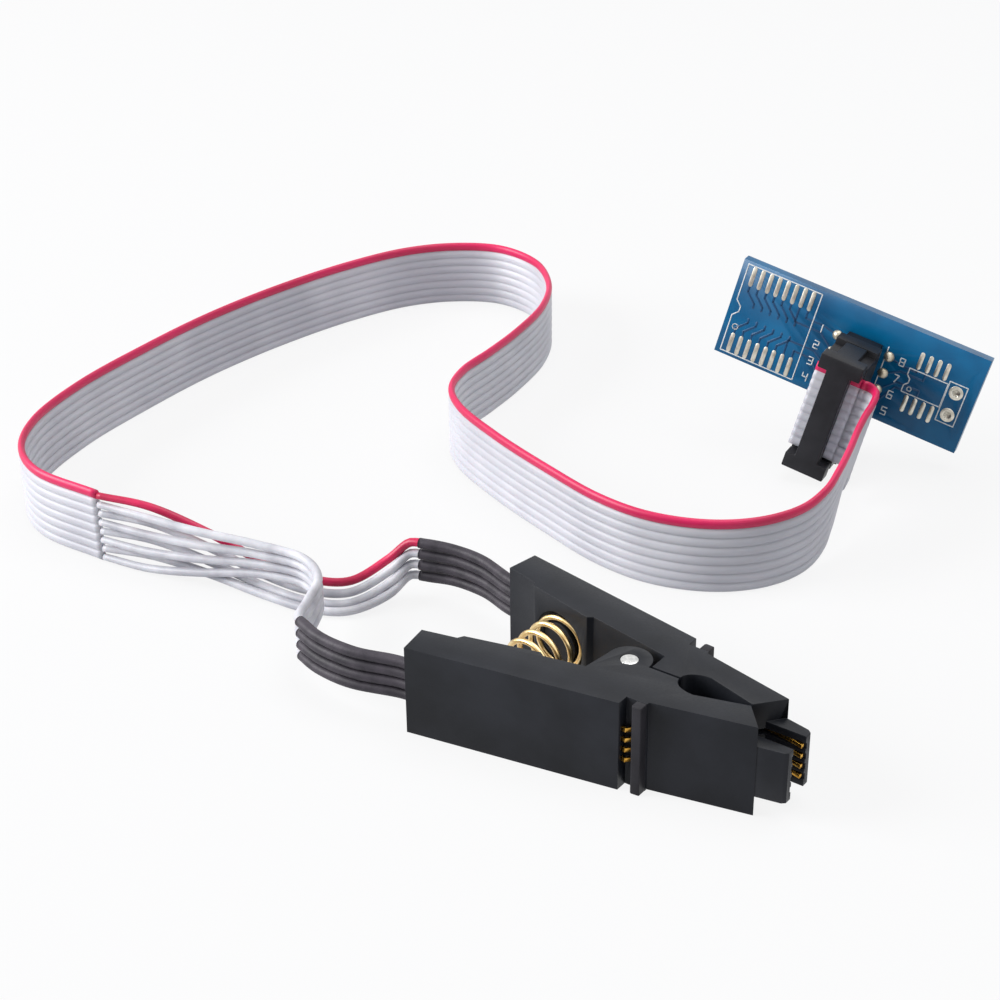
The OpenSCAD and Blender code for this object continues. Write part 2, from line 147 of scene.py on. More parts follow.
# ---------------------------------------------------------------- ribbon cable
# Eight round conductors in soft grey insulation, moulded side by side with thin webs between
# them. The first one is crimson. It stands on its edge and leaves the connector leaning.
BOARD_AT = np.array([-31.6, 74.6, 18.5]) * MM
BOARD_TURN = np.array((turn(10, "Z") @ turn(14, "Y") @ turn(85, "X")).to_3x3())
PITCH = 1.27 * MM
RIBBON_T = 0.9 * MM
WAYS, SPARE_WAYS = 8, 2
HEADER_X, FIRST_PIN_Y, PIN_PITCH = 19.6 * MM, 2.1 * MM, 2.54 * MM
IDC_W, IDC_BODY_H, IDC_Z = 6.0 * MM, 6.3 * MM, 2.64 * MM
IDC_Y = FIRST_PIN_Y - 2.75 * PIN_PITCH
CABLE_MID_Z = IDC_Z + IDC_BODY_H + RIBBON_T / 2
SPLIT = (-76.0, -5.0)


def on_board(points):
    """Points of the board's frame (along, across, out of the printed side) in the row frame."""
    return BOARD_AT + np.asarray(points, float) @ BOARD_TURN.T


CONNECTOR_EDGE = HEADER_X + IDC_W / 2
ribbon_y = IDC_Y + PITCH * SPARE_WAYS / 2
exit_points = on_board([[CONNECTOR_EDGE + d * MM, ribbon_y, CABLE_MID_Z] for d in (0, 1)])
# each point is (x, y, z) in millimetres and how far the ribbon leans with the board, from 0 to 1
ribbon_route = np.vstack([
    np.column_stack([exit_points, [1.0, 1.0]]),
    np.array([(-6.4, 67.9, 10.1, 0.97), (-5.4, 65.3, 9.9, 0.93),
              (-4.7, 61.9, 9.5, 0.88), (-4, 58.8, 8.9, 0.8),
              (-3, 55.3, 8.1, 0.65), (-2, 51.3, 7.1, 0.45), (-1.4, 47.6, 6.1, 0.28), (-1.7, 43.5, 5.3, 0.12),
              (-3.4, 38.6, 5.2, 0), (-6.6, 34.6, 5.2, 0), (-11, 31.8, 5.2, 0), (-17, 30.2, 5.2, 0),
              (-24, 30.6, 5.2, 0), (-34, 33.4, 5.2, 0), (-45, 37.2, 5.2, 0), (-54, 41.4, 5.2, 0),
              (-58.4, 45.4, 5.2, 0), (-60.6, 51, 5.2, 0), (-61.2, 58, 5.2, 0), (-62.2, 66, 5.2, 0),
              (-64.6, 76, 5.2, 0), (-69, 84, 5.2, 0), (-76, 90, 5.2, 0), (-84, 91.4, 5.2, 0),
              (-90.6, 88, 5.2, 0), (-95.6, 82, 5.2, 0), (-99.4, 72, 5.2, 0), (-102.2, 58, 5.2, 0),
              (-103.4, 44, 5.2, 0), (-103, 30, 5.2, 0), (-101.6, 16, 5.2, 0), (-98.4, 5, 5.2, 0),
              (-93.6, -1.6, 5.2, 0), (-87, -5, 5.2, 0), (SPLIT[0], SPLIT[1], 5.2, 0)])
    * np.array([MM, MM, MM, 1.0])])


def smooth_line(points, step):
    """A curve through all the points (Catmull-Rom with spans weighted by their length),
    resampled so that its points lie about one step apart. Extra columns are carried along."""
    p = np.asarray(points, float)
    p = np.vstack([2 * p[0] - p[1], p, 2 * p[-1] - p[-2]])
    knots = np.concatenate([[0], np.cumsum(np.sqrt(np.linalg.norm(np.diff(p[:, :3], axis=0), axis=1)))])
    fine = []
    for i in range(1, len(p) - 2):
        t0, t1, t2, t3 = knots[i - 1:i + 3]
        t = np.linspace(t1, t2, 24, endpoint=False)[:, None]
        a1 = ((t1 - t) * p[i - 1] + (t - t0) * p[i]) / (t1 - t0)
        a2 = ((t2 - t) * p[i] + (t - t1) * p[i + 1]) / (t2 - t1)
        a3 = ((t3 - t) * p[i + 1] + (t - t2) * p[i + 2]) / (t3 - t2)
        b1 = ((t2 - t) * a1 + (t - t0) * a2) / (t2 - t0)
        b2 = ((t3 - t) * a2 + (t - t1) * a3) / (t3 - t1)
        fine.append(((t2 - t) * b1 + (t - t1) * b2) / (t2 - t1))
    fine = np.vstack(fine + [p[-2:-1]])
    run = np.concatenate([[0], np.cumsum(np.linalg.norm(np.diff(fine[:, :3], axis=0), axis=1))])
    count = max(2, int(round(run[-1] / step)) + 1)
    at = np.linspace(0, run[-1], count)
    return np.column_stack([np.interp(at, run, fine[:, k]) for k in range(fine.shape[1])])


def swept_rings(line, section, ups):
    """Rings of a sweep: at each point of the line the section (across, up) is laid out on the
    plane square to the line, with its second axis as near to ups as that plane allows."""
    tangent = np.gradient(line[:, :3], axis=0)
    tangent /= np.linalg.norm(tangent, axis=1)[:, None]
    side = np.cross(tangent, ups)
    side /= np.linalg.norm(side, axis=1)[:, None]
    up = np.cross(side, tangent)
    section = np.asarray(section)
    if section.ndim == 2:
        section = np.repeat(section[None], len(line), axis=0)
    return line[:, None, :3] + side[:, None] * section[:, :, :1] + up[:, None] * section[:, :, 1:2]


def ring_mesh(name, rings):
    """A skin over rings of points, with a flat face on each end."""
    n, m = rings.shape[:2]
    grid = np.arange(n * m).reshape(n, m)
    nxt = np.roll(grid, -1, axis=1)
    quads = np.stack([grid[:-1], nxt[:-1], nxt[1:], grid[1:]], axis=-1)
    faces = quads.reshape(-1, 4).tolist() + [grid[0][::-1].tolist(), grid[-1].tolist()]
    mesh = bpy.data.meshes.new(name)
    mesh.from_pydata(rings.reshape(-1, 3).tolist(), [], faces)
    work = bmesh.new()
    work.from_mesh(mesh)
    bmesh.ops.recalc_face_normals(work, faces=work.faces)
    work.to_mesh(mesh)
    work.free()
    mesh.shade_smooth()
    piece = bpy.data.objects.new(name, mesh)
    scene.collection.objects.link(piece)
    return piece


def ribbed_section(ways, lowest):
    """Outline of a ribbon of round conductors: an elliptic bulge for each conductor on both
    faces, never thinner than the web. It runs up one face from the height lowest and down the
    other. The second result counts the conductors along the outline."""
    steps, web, edge, bulge_width = 8, 0.30, 0.2, 0.98
    s = np.arange(ways * steps + 1) / steps
    across = 2 * ((s % 1.0) - 0.5) * bulge_width
    half = RIBBON_T / 2 * np.maximum(np.sqrt(np.clip(1 - across ** 2, 0, None)), web)
    half[[0, -1]] = RIBBON_T / 2 * edge
    height = lowest + s * PITCH
    up_one_face = np.column_stack([half, height])
    down_the_other = np.column_stack([-half, height])[::-1]
    return np.vstack([up_one_face, down_the_other]), np.concatenate([s, s[::-1]])


def set_attribute(piece, name, values):
    layer = piece.data.attributes.new(name, "FLOAT", "POINT")
    layer.data.foreach_set("value", np.asarray(values, dtype=np.float32).ravel())


def linear(r, g, b):
    """A screen colour, 0 to 255, as a linear one."""
    c = np.array([r, g, b]) / 255.0
    return tuple(np.where(c <= 0.04045, c / 12.92, ((c + 0.055) / 1.055) ** 2.4)) + (1.0,)


def new_look(name, roughness, metallic=0.0, specular=0.5, coat=0.0):
    look = bpy.data.materials.new(name)
    look.use_nodes = True
    shader = look.node_tree.nodes["Principled BSDF"]
    shader.inputs["Roughness"].default_value = roughness
    shader.inputs["Metallic"].default_value = metallic
    shader.inputs["Specular IOR Level"].default_value = specular
    shader.inputs["Coat Weight"].default_value = coat
    return look, look.node_tree, shader


def grain(tree, scale, detail=4.0):
    """Noise on object coordinates, scale in waves per metre."""
    place = tree.nodes.new("ShaderNodeTexCoord")
    noise = tree.nodes.new("ShaderNodeTexNoise")
    noise.inputs["Scale"].default_value = scale
    noise.inputs["Detail"].default_value = detail
    tree.links.new(place.outputs["Object"], noise.inputs["Vector"])
    return noise.outputs["Fac"]


def mottle(tree, shader, value, dark, pale, low=0.35, high=0.65):
    """The base colour goes from dark to pale as value goes from low to high."""
    ramp = tree.nodes.new("ShaderNodeValToRGB")
    ramp.color_ramp.elements[0].position = low
    ramp.color_ramp.elements[1].position = high
    ramp.color_ramp.elements[0].color = dark
    ramp.color_ramp.elements[1].color = pale
    tree.links.new(value, ramp.inputs["Fac"])
    if shader is not None:
        tree.links.new(ramp.outputs["Color"], shader.inputs["Base Color"])
    return ramp.outputs["Color"]


def roughen(tree, shader, value, low, high):
    """Roughness from low to high with the value."""
    span = tree.nodes.new("ShaderNodeMapRange")
    span.inputs["To Min"].default_value = low
    span.inputs["To Max"].default_value = high
    tree.links.new(value, span.inputs["Value"])
    tree.links.new(span.outputs["Result"], shader.inputs["Roughness"])


def emboss(tree, shader, value, strength, depth):
    bump = tree.nodes.new("ShaderNodeBump")
    bump.inputs["Strength"].default_value = strength
    bump.inputs["Distance"].default_value = depth
    tree.links.new(value, bump.inputs["Height"])
    tree.links.new(bump.outputs["Normal"], shader.inputs["Normal"])


def cable_look(name, plain_dark, plain_pale, red_dark, red_pale):
    """Soft insulation: the conductor whose attribute "way" is under 1 is crimson."""
    look, tree, shader = new_look(name, 0.42, specular=0.45)
    shader.inputs["Subsurface Weight"].default_value = 0.05
    shader.inputs["Subsurface Scale"].default_value = 0.0004
    fine = grain(tree, 900.0)
    broad = grain(tree, 70.0, 2.0)
    plain = mottle(tree, None, broad, plain_dark, plain_pale)
    red = mottle(tree, None, broad, red_dark, red_pale)
    way = tree.nodes.new("ShaderNodeAttribute")
    way.attribute_name = "way"
    is_red = tree.nodes.new("ShaderNodeMath")
    is_red.operation = "LESS_THAN"
    is_red.inputs[1].default_value = 1.0
    pick = tree.nodes.new("ShaderNodeMix")
    pick.data_type = "RGBA"
    tree.links.new(way.outputs["Fac"], is_red.inputs[0])
    tree.links.new(is_red.outputs[0], pick.inputs["Factor"])
    tree.links.new(plain, pick.inputs["A"])
    tree.links.new(red, pick.inputs["B"])
    tree.links.new(pick.outputs["Result"], shader.inputs["Base Color"])
    roughen(tree, shader, fine, 0.36, 0.5)
    emboss(tree, shader, fine, 0.12, 0.00005)
    return look


CABLE = cable_look("grey_cable_skin", linear(186, 186, 194), linear(204, 204, 211),
                   linear(196, 20, 78), linear(214, 30, 92))


def wear(piece, look):
    piece.data.materials.clear()
    piece.data.materials.append(look)


def strip(name, line, ways, first_way, off):
    """A ribbed ribbon along the line. Its conductors are numbered from the top, from first_way,
    and its middle is off above the line."""
    section, s = ribbed_section(ways, -ways * PITCH / 2 + off)
    lean = line[:, 3:4]
    ups = BOARD_TURN[:, 1][None] * lean + np.array([[0, 0, 1.0]]) * (1 - lean)
    rings = swept_rings(line, section, ups)
    piece = ring_mesh(name, rings)
    set_attribute(piece, "way", np.repeat((first_way + ways - s)[None], len(line), axis=0))
    wear(piece, CABLE)
    return piece


ribbon_line = smooth_line(ribbon_route, 0.8 * MM)
ribbon = strip("ribbon_cable", ribbon_line, WAYS, 0, 0.0)
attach(ribbon, "front_half")
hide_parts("ribbon")

# ---------------------------------------------------------------- spare conductors
# The two outer conductors that the clip doesn't need are slit off behind the connector and
# cut short. They lie against the ribbon's lower edge, a hundredth of a millimetre off it.
SPARE_POINTS = 5
spare_off = -(WAYS + SPARE_WAYS) * PITCH / 2 - 0.01 * MM
spare_line = smooth_line(ribbon_route[:SPARE_POINTS], 0.5 * MM)
spare = strip("spare_conductor_tails", spare_line, SPARE_WAYS, WAYS, spare_off)
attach(spare, "front_half")
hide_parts("spare_conductors")

# ---------------------------------------------------------------- cut end in the connector
# The cable's flat end is pressed between the connector's cover and body. It stands out on the
# far side, where each conductor's cut strands show.
TAIL_OUT = 3.5 * MM
ALL_WAYS = WAYS + SPARE_WAYS
cut_from = HEADER_X - TAIL_OUT
cut_section, cut_way = ribbed_section(ALL_WAYS, -ALL_WAYS * PITCH / 2)
stations = np.linspace(0, 1, 14)
along = cut_from + stations * (CONNECTOR_EDGE - cut_from)
# pressed a little flat at both ends, and a little less in the middle
fullness = 0.93 + 0.10 * np.sin(math.pi * stations)
cut_rings = np.stack([np.column_stack([np.full(len(cut_section), x), IDC_Y + cut_section[:, 1],
                                       CABLE_MID_Z + cut_section[:, 0] * full])
                      for x, full in zip(along, fullness)])
cut_end = ring_mesh("ribbon_cut_end", on_board(cut_rings))
set_attribute(cut_end, "way", np.repeat((ALL_WAYS - cut_way)[None], len(along), axis=0))
wear(cut_end, CABLE)
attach(cut_end, "front_half")
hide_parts("ribbon_end")


def joined(name, pieces):
    """One object from several, which are removed."""
    work = bmesh.new()
    for piece in pieces:
        work.from_mesh(piece.data)
        bpy.data.objects.remove(piece)
    mesh = bpy.data.meshes.new(name)
    work.to_mesh(mesh)
    work.free()
    mesh.shade_smooth()
    result = bpy.data.objects.new(name, mesh)
    scene.collection.objects.link(result)
    return result


def turned(name, profile, middle, axis, side, sides=20):
    """A closed shape turned on a lathe: profile holds (radius, distance along axis)."""
    profile = np.asarray(profile, float)
    axis, side = np.asarray(axis, float), np.asarray(side, float)
    other = np.cross(axis, side)
    a = np.arange(sides) * 2 * math.pi / sides
    spoke = np.cos(a)[:, None] * side + np.sin(a)[:, None] * other
    radius, height = profile[:, 0][:, None, None], profile[:, 1][:, None, None]
    rings = np.asarray(middle) + height * axis + radius * spoke[None]
    return ring_mesh(name, rings)


def grained_look(name, roughness, scale, dark, pale, rough=None, bump=None, **shine):
    """Colour mottled from dark to pale at one scale. rough is (scale, lowest, highest) of a grain
    in the roughness, and bump is (scale, strength, depth) of one in the surface."""
    look, tree, shader = new_look(name, roughness, **shine)
    mottle(tree, shader, grain(tree, scale), dark, pale)
    if rough:
        roughen(tree, shader, grain(tree, rough[0]), *rough[1:])
    if bump:
        emboss(tree, shader, grain(tree, bump[0]), *bump[1:])
    return look


STRANDS = grained_look("copper_strands", 0.35, 9000.0, linear(170, 150, 120), linear(224, 214, 196),
                       bump=(12000.0, 0.6, 0.00003), metallic=1.0)
CORE_R = 0.19
core_profile = np.array([(0.02, 0.0), (0.17, 0.0), (CORE_R, 0.03), (CORE_R, 0.4), (0.02, 0.4)]) * MM
across = (np.arange(ALL_WAYS) - (ALL_WAYS - 1) / 2) * PITCH
cores = joined("cut_strands", [
    turned("core", core_profile, on_board([[cut_from - 0.03 * MM, IDC_Y + y, CABLE_MID_Z]])[0],
           BOARD_TURN[:, 0], BOARD_TURN[:, 1], 10)
    for y in across])
wear(cores, STRANDS)
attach(cores, "front_half")

# ---------------------------------------------------------------- wires
# Eight single wires of the slit ribbon: every second one goes to the same jaw. The four of the
# rear jaw dip under the four of the front jaw, and each one ends in a heat shrink sleeve.
WIRE_R = 0.55 * MM
TAPER = 12 * MM
# from here on routes are in millimetres
CLIP_H = 11.1
INTO_SLEEVE = (0.9, 3.0)
SLEEVE_PITCH = 1.37
SLEEVE_FAN = np.array([1, 1, 1.04, 1.08, 1.12])
SLEEVE_DROP = np.array([0, 0, 0.1, 0.2, 0.3])
FRONT_SLEEVE = np.array([(-17, -10.3), (-22.5, -10.5), (-28.5, -12), (-33.5, -11.8), (-37.5, -10.5)])
REAR_SLEEVE = np.array([(-17, 10.3), (-22.5, 10.6), (-28.5, 12.5), (-33, 12.7), (-37.5, 11.6)])
FRONT_WIRE = np.array([(-75.8, -5), (-69, -4), (-62, -2.5), (-54, 0), (-47, 1), (-42.5, -1.5), (-39.8, -6.5),
                       (-38.4, -9.6), (-37.8, -10.3)])
REAR_WIRE = np.array([(-75.8, -5), (-69, -2.6), (-62, 0.5), (-55, 3), (-48.5, 3.8), (-44, 6), (-41, 9.8),
                      (-38.9, 11.3), (-37.8, 11.55)])
FRONT_DOWN = np.array([0, 0.05, 0.4, 0.85, 1, 1, 1, 1, 1])
FRONT_UP = np.array([0, 0, 0, 0, 0, 0.2, 0.75, 1, 1])
FRONT_CROSSING = (7.2, 6, 4.8, 3.6)
REAR_DOWN = np.array([0, 0.08, 0.5, 0.95, 1, 1, 1, 1, 1])
REAR_UP = np.array([0, 0, 0, 0, 0, 0.05, 0.5, 0.94, 1])
REAR_CROSSING = (2.4, 1.6, 0.9, 0.7)
REAR_SPREAD = np.array([0, 0, 0.7, 1.4, 1.4, 1.35, 1.1, 0.1, 0])
COURSES = {
    "front": (FRONT_WIRE, FRONT_DOWN, FRONT_UP, FRONT_CROSSING, 0 * REAR_SPREAD, FRONT_SLEEVE),
    "rear": (REAR_WIRE, REAR_DOWN, REAR_UP, REAR_CROSSING, REAR_SPREAD, REAR_SLEEVE),
}


def sleeve_heights(k):
    """Height of sleeve k, counted from the top, at each point of its route."""
    return CLIP_H / 2 - SLEEVE_DROP + (1.5 - k) * SLEEVE_PITCH * SLEEVE_FAN


def wire_route(k, way, course):
    """The points of the wire of conductor way, from the ribbon to its sleeve k, and 3 mm on into
    the sleeve. Its height goes from the ribbon's to the crossing's with down, and then from there
    to the sleeve's with up. Lower wires stand further apart by spread."""
    flat, down, up, crossings, spread, sleeve = course
    heights = sleeve_heights(k)
    start, crossing, end = (WAYS - 0.5 - way) * PITCH / MM, crossings[k], heights[4]
    z = start + (crossing - start) * down + (end - crossing) * up
    points = np.column_stack([flat[:, 0] + 0.6 * spread * k, flat[:, 1] - 0.8 * spread * k, z])
    mouth = np.array([*sleeve[4], heights[4]])
    into = np.array([*sleeve[3], heights[3]]) - mouth
    into /= np.linalg.norm(into)
    return np.vstack([points] + [mouth + into * depth for depth in INTO_SLEEVE]) * MM


def round_section(radius, sides):
    a = np.arange(sides) * 2 * math.pi / sides
    return np.column_stack([np.cos(a), np.sin(a)]) * radius


UP = np.array([[0, 0, 1.0]])


def round_tube(name, line, radius, sides=14):
    """A tube along the line. radius is one number or one for each point of the line."""
    radius = np.broadcast_to(np.asarray(radius, float), (len(line),))
    section = round_section(1.0, sides)[None] * radius[:, None, None]
    return ring_mesh(name, swept_rings(line, section, UP))


def wire_look(name, dark, pale):
    look, tree, shader = new_look(name, 0.4, specular=0.45)
    shader.inputs["Subsurface Weight"].default_value = 0.06
    shader.inputs["Subsurface Scale"].default_value = 0.0004
    mottle(tree, shader, grain(tree, 260.0), dark, pale)
    fine = grain(tree, 2500.0)
    roughen(tree, shader, fine, 0.33, 0.5)
    emboss(tree, shader, fine, 0.1, 0.00004)
    return look


PALE_WIRE = wire_look("pale_wire_skin", linear(178, 178, 186), linear(212, 212, 218))
RED_WIRE = wire_look("red_wire_skin", linear(176, 18, 66), linear(208, 28, 84))
for k in range(4):
    for side in ("front", "rear"):
        front = side == "front"
        route = wire_route(k, 2 * k + 1 if front else 2 * k, COURSES[side])
        line = smooth_line(route[::-1], 0.6 * MM)
        from_ribbon = np.clip((line[:, 0] - line[-1, 0]) / TAPER, 0, 1)
        radius = RIBBON_T / 2 + (WIRE_R - RIBBON_T / 2) * from_ribbon
        wire = round_tube("%s_wire_%d_lead" % (side, k + 1), line, radius)
        red = not front and k == 0
        wear(wire, RED_WIRE if red else PALE_WIRE)
        if front:
            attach(wire, "front_half")
        else:
            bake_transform(wire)
        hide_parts("%s_wire_%d" % (side, k + 1))

# ---------------------------------------------------------------- heat shrink sleeves
# Each wire's joint with its contact is covered by a shrunk dark sleeve: a thin tube that shows
# the wire's shape, a little waved, with a rolled open end.
SHRINK = grained_look("heat_shrink_skin", 0.5, 500.0, linear(42, 39, 46), linear(66, 61, 69),
                      rough=(3500.0, 0.42, 0.62), bump=(3500.0, 0.25, 0.00006), specular=0.3)


def sleeve(name, flat, k):
    """A tube whose radius waves gently; at its free end it turns in to the wire."""
    route = np.column_stack([flat, sleeve_heights(k)]) * MM
    line = smooth_line(route, 0.45 * MM)
    s = np.linspace(0, 1, len(line))
    radius = (0.655 + 0.012 * np.sin(23 * s + 2 * k) + 0.02 * np.exp(-((s - 0.93) / 0.05) ** 2)) * MM
    ends = line[-1:] + (line[-1:] - line[-2:-1]) * 0.25
    line = np.vstack([line, ends, line[-1:]])
    radius = np.concatenate([radius, [0.60 * MM, 0.56 * MM]])
    return round_tube(name, line, radius, 16)


for side, flat, body in (("front", FRONT_SLEEVE, "front_half"), ("rear", REAR_SLEEVE, "rear_half")):
    group = joined(side + "_shrink_sleeves", [sleeve("one", flat, k) for k in range(4)])
    wear(group, SHRINK)
    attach(group, body)
    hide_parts(side + "_sleeves")

# ---------------------------------------------------------------- spring
# A coil of thin gilt wire across the handles. Its two end turns lie flat on the seats.
SPRING_TURNS, SPRING_R, SPRING_WIRE = 7, 3.12 * MM, 0.66 * MM
SPRING_SPAN, CLOSE_PITCH = 12.34 * MM, 0.693 * MM
OPEN_PITCH = (SPRING_SPAN - 2 * CLOSE_PITCH) / (SPRING_TURNS - 2)
SPRING_X, SPRING_Z, SEAT_Y = -0.0125, 0.00555, 0.0065
turns = np.linspace(0, SPRING_TURNS, SPRING_TURNS * 40 + 1)
first_turn = turns * CLOSE_PITCH
open_turns = CLOSE_PITCH + (turns - 1) * OPEN_PITCH
last_turn = SPRING_SPAN - (SPRING_TURNS - turns) * CLOSE_PITCH
rise = np.where(turns < 1, first_turn, np.where(turns > SPRING_TURNS - 1, last_turn, open_turns))
angle = 2 * math.pi * turns
coil = np.column_stack([SPRING_X + SPRING_R * np.cos(angle), rise - SPRING_SPAN / 2,
                        SPRING_Z + SPRING_R * np.sin(angle)])
ALONG_COIL = np.array([[0, 1.0, 0]])
spring = ring_mesh("coil_spring", swept_rings(coil, round_section(SPRING_WIRE / 2, 14), ALONG_COIL))
SPRING = grained_look("gilt_spring_wire", 0.3, 900.0, linear(222, 188, 128), linear(246, 222, 170),
                      rough=(2600.0, 0.22, 0.4), bump=(5200.0, 0.1, 0.00003), metallic=1.0)
wear(spring, SPRING)
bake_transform(spring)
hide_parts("spring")

# ---------------------------------------------------------------- jaws, contacts, keepers and pin
# The jaws are moulded in near-black plastic with a fine matt grain. Flat gilt contacts lie in
# their channels, and a keeper bar on each jaw holds them down.


def dressed(node, body, name, look, width, segments=2):
    """The CAD node's own shape with its triangles joined and its edges rounded by width."""
    mesh = nodes[node].data.copy()
    mesh.name = name
    work = bmesh.new()
    work.from_mesh(mesh)
    bmesh.ops.remove_doubles(work, verts=work.verts, dist=2e-6)
    bmesh.ops.dissolve_limit(work, angle_limit=0.02, verts=work.verts, edges=work.edges)
    bmesh.ops.recalc_face_normals(work, faces=work.faces)
    work.to_mesh(mesh)
    work.free()
    mesh.shade_smooth()
    piece = bpy.data.objects.new(name, mesh)
    scene.collection.objects.link(piece)
    if width:
        bevel = piece.modifiers.new("edges", "BEVEL")
        bevel.width = width
        bevel.segments = segments
        bevel.limit_method = "ANGLE"
        bevel.angle_limit = 0.6
        bevel.harden_normals = True
    wear(piece, look)
    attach(piece, body)
    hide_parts(node)
    return piece


JAW = grained_look("black_moulding", 0.45, 140.0, linear(22, 24, 29), linear(33, 35, 41),
                   rough=(4200.0, 0.3, 0.5), bump=(4200.0, 0.16, 0.00004), specular=0.2)
KEEPER = grained_look("black_bar", 0.5, 240.0, linear(28, 27, 31), linear(42, 41, 46),
                      bump=(5600.0, 0.2, 0.00004), specular=0.2)
CONTACT = grained_look("gilt_contact", 0.28, 1200.0, linear(196, 146, 58), linear(228, 180, 88),
                       rough=(3600.0, 0.2, 0.38), metallic=1.0)
PIN = grained_look("bright_pin", 0.25, 1500.0, linear(196, 197, 196), linear(226, 226, 224),
                   rough=(4200.0, 0.16, 0.34), metallic=1.0)
for side, body in (("front", "front_half"), ("rear", "rear_half")):
    dressed(side + "_jaw", body, side + "_jaw_moulding", JAW, 0.12 * MM)
    dressed(side + "_contacts", body, side + "_contact_strips", CONTACT, 0.04 * MM)
    dressed(side + "_keeper", body, side + "_keeper_bar", KEEPER, 0.10 * MM)
dressed("pivot_pin", "front_half", "bright_pivot_pin", PIN, 0.18 * MM, 3)

# ---------------------------------------------------------------- connector
# A two-part connector of black plastic: the cover presses the cable on to forked
# contacts, and the body pushes over the header's pins.
IDC = grained_look("connector_moulding", 0.45, 170.0, linear(26, 26, 29), linear(40, 40, 44),
                   rough=(4600.0, 0.32, 0.52), bump=(4600.0, 0.16, 0.00004), specular=0.22)
BRASS = grained_look("tinned_brass", 0.3, 1300.0, linear(190, 166, 104), linear(222, 204, 150),
                     rough=(3900.0, 0.22, 0.4), metallic=1.0)
connector = [
    dressed("idc_body", "front_half", "connector_body", IDC, 0.12 * MM),
    dressed("idc_cover", "front_half", "connector_cover", IDC, 0.15 * MM),
    dressed("idc_contacts", "front_half", "connector_forks", BRASS, 0.03 * MM),
]

# ---------------------------------------------------------------- header and pin strips
# The header's base and the two strips under the board are glossier black plastic. The header's
# pins are square, and those of the strips have round tips.
STRIP = grained_look("header_moulding", 0.4, 210.0, linear(20, 20, 22), linear(33, 33, 36),
                     bump=(5200.0, 0.14, 0.00004), specular=0.25)
TURNED = grained_look("turned_pin_metal", 0.26, 1400.0, linear(206, 196, 156), linear(232, 224, 192),
                      rough=(3700.0, 0.18, 0.34), metallic=1.0)
dressed("header_base", "adapter_board", "header_housing", STRIP, 0.10 * MM)
dressed("header_pins", "adapter_board", "square_header_pins", BRASS, 0.08 * MM)
dressed("dip_strip_left", "adapter_board", "left_pin_strip", STRIP, 0.10 * MM)
dressed("dip_strip_right", "adapter_board", "right_pin_strip", STRIP, 0.10 * MM)
dressed("dip_pins", "adapter_board", "turned_dip_pins", TURNED, 0.06 * MM)

# ---------------------------------------------------------------- board
# Blue solder mask over laminate, with darker tracks, tinned pads and white outlines printed
# on it. Words and titles are left off; only plain pin numbers are kept.
MASK = grained_look("blue_solder_mask", 0.32, 150.0, linear(0, 76, 118), linear(0, 96, 142),
                    rough=(3200.0, 0.24, 0.4), bump=(3200.0, 0.08, 0.00003), specular=0.3, coat=0.05)
TRACK = grained_look("mask_over_track", 0.3, 260.0, linear(0, 58, 98), linear(0, 70, 114))
INK = grained_look("white_print", 0.6, 1900.0, linear(206, 210, 212), linear(232, 234, 234), specular=0.3)
TIN = grained_look("tinned_pad", 0.34, 1100.0, linear(188, 182, 168), linear(222, 217, 204),
                   bump=(2200.0, 0.25, 0.00005), metallic=0.9)
dressed("board", "adapter_board", "adapter_laminate", MASK, 0.06 * MM)

# What lies on the board is laid out in millimetres: x along it from the end with the larger
# chip field, y across it from its middle line, and heights over the solder mask.
UNDER, TRACK_TOP, INK_TOP, PAD_TOP = -0.02, 0.012, 0.022, 0.035


def plate(outline, top):
    """A thin flat piece on the board over the outline, its upper rim drawn in by a twentieth."""
    outline = np.asarray(outline, float)
    middle = outline.mean(0)
    inner = middle + (outline - middle) * 0.95
    shoulder = top - 0.4 * (top - UNDER)
    rings = [np.column_stack([o, np.full(len(o), z)]) for o, z in
             ((outline, UNDER), (outline, shoulder), (inner, top))]
    return ring_mesh("plate", on_board(np.stack(rings) * MM))


def stroke(a, b, width):
    """Outline of a line from a to b whose ends are half circles."""
    a, b = np.array(a, float), np.array(b, float)
    head = math.atan2(*(b - a)[::-1])
    angles = head + np.linspace(-math.pi / 2, math.pi / 2, 5)
    cap = width / 2 * np.column_stack([np.cos(angles), np.sin(angles)])
    return np.vstack([b + cap, a - cap])


def strokes(name, lines, width, top, look):
    """Many lines, each given as the list of its corners, as one piece."""
    parts = [plate(stroke(p, q, width), top) for line in lines for p, q in zip(line[:-1], line[1:])]
    group = joined(name, parts)
    wear(group, look)
    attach(group, "adapter_board")


rows = [(FIRST_PIN_Y - k * PIN_PITCH) / MM for k in range(4)]
left, right = (HEADER_X - 1.5 * PIN_PITCH) / MM, (HEADER_X + 1.5 * PIN_PITCH) / MM
CHIP_PITCH = 1.27
large_field = [1.9 + CHIP_PITCH * k for k in range(8)]
small_field = [27.6 + CHIP_PITCH * k for k in range(4)]
LARGE_PAD, SMALL_PAD = (3.95, 6.35), (2.3, 4.3)
LARGE_TRACK_Y, SMALL_TRACK_Y = 3.9, 2.3
LEFT_BEND, RIGHT_BEND = 13.4, 25.6
TRACK_W, PAD_W, INK_W = 0.32, 0.62, 0.16


def track(pad, pad_y, level, bend, pin, row):
    """From a pad across to its level, along to the bend, and from there to a pin's row."""
    return [(pad, pad_y), (pad, level), (bend, level), (pin, rows[row])]


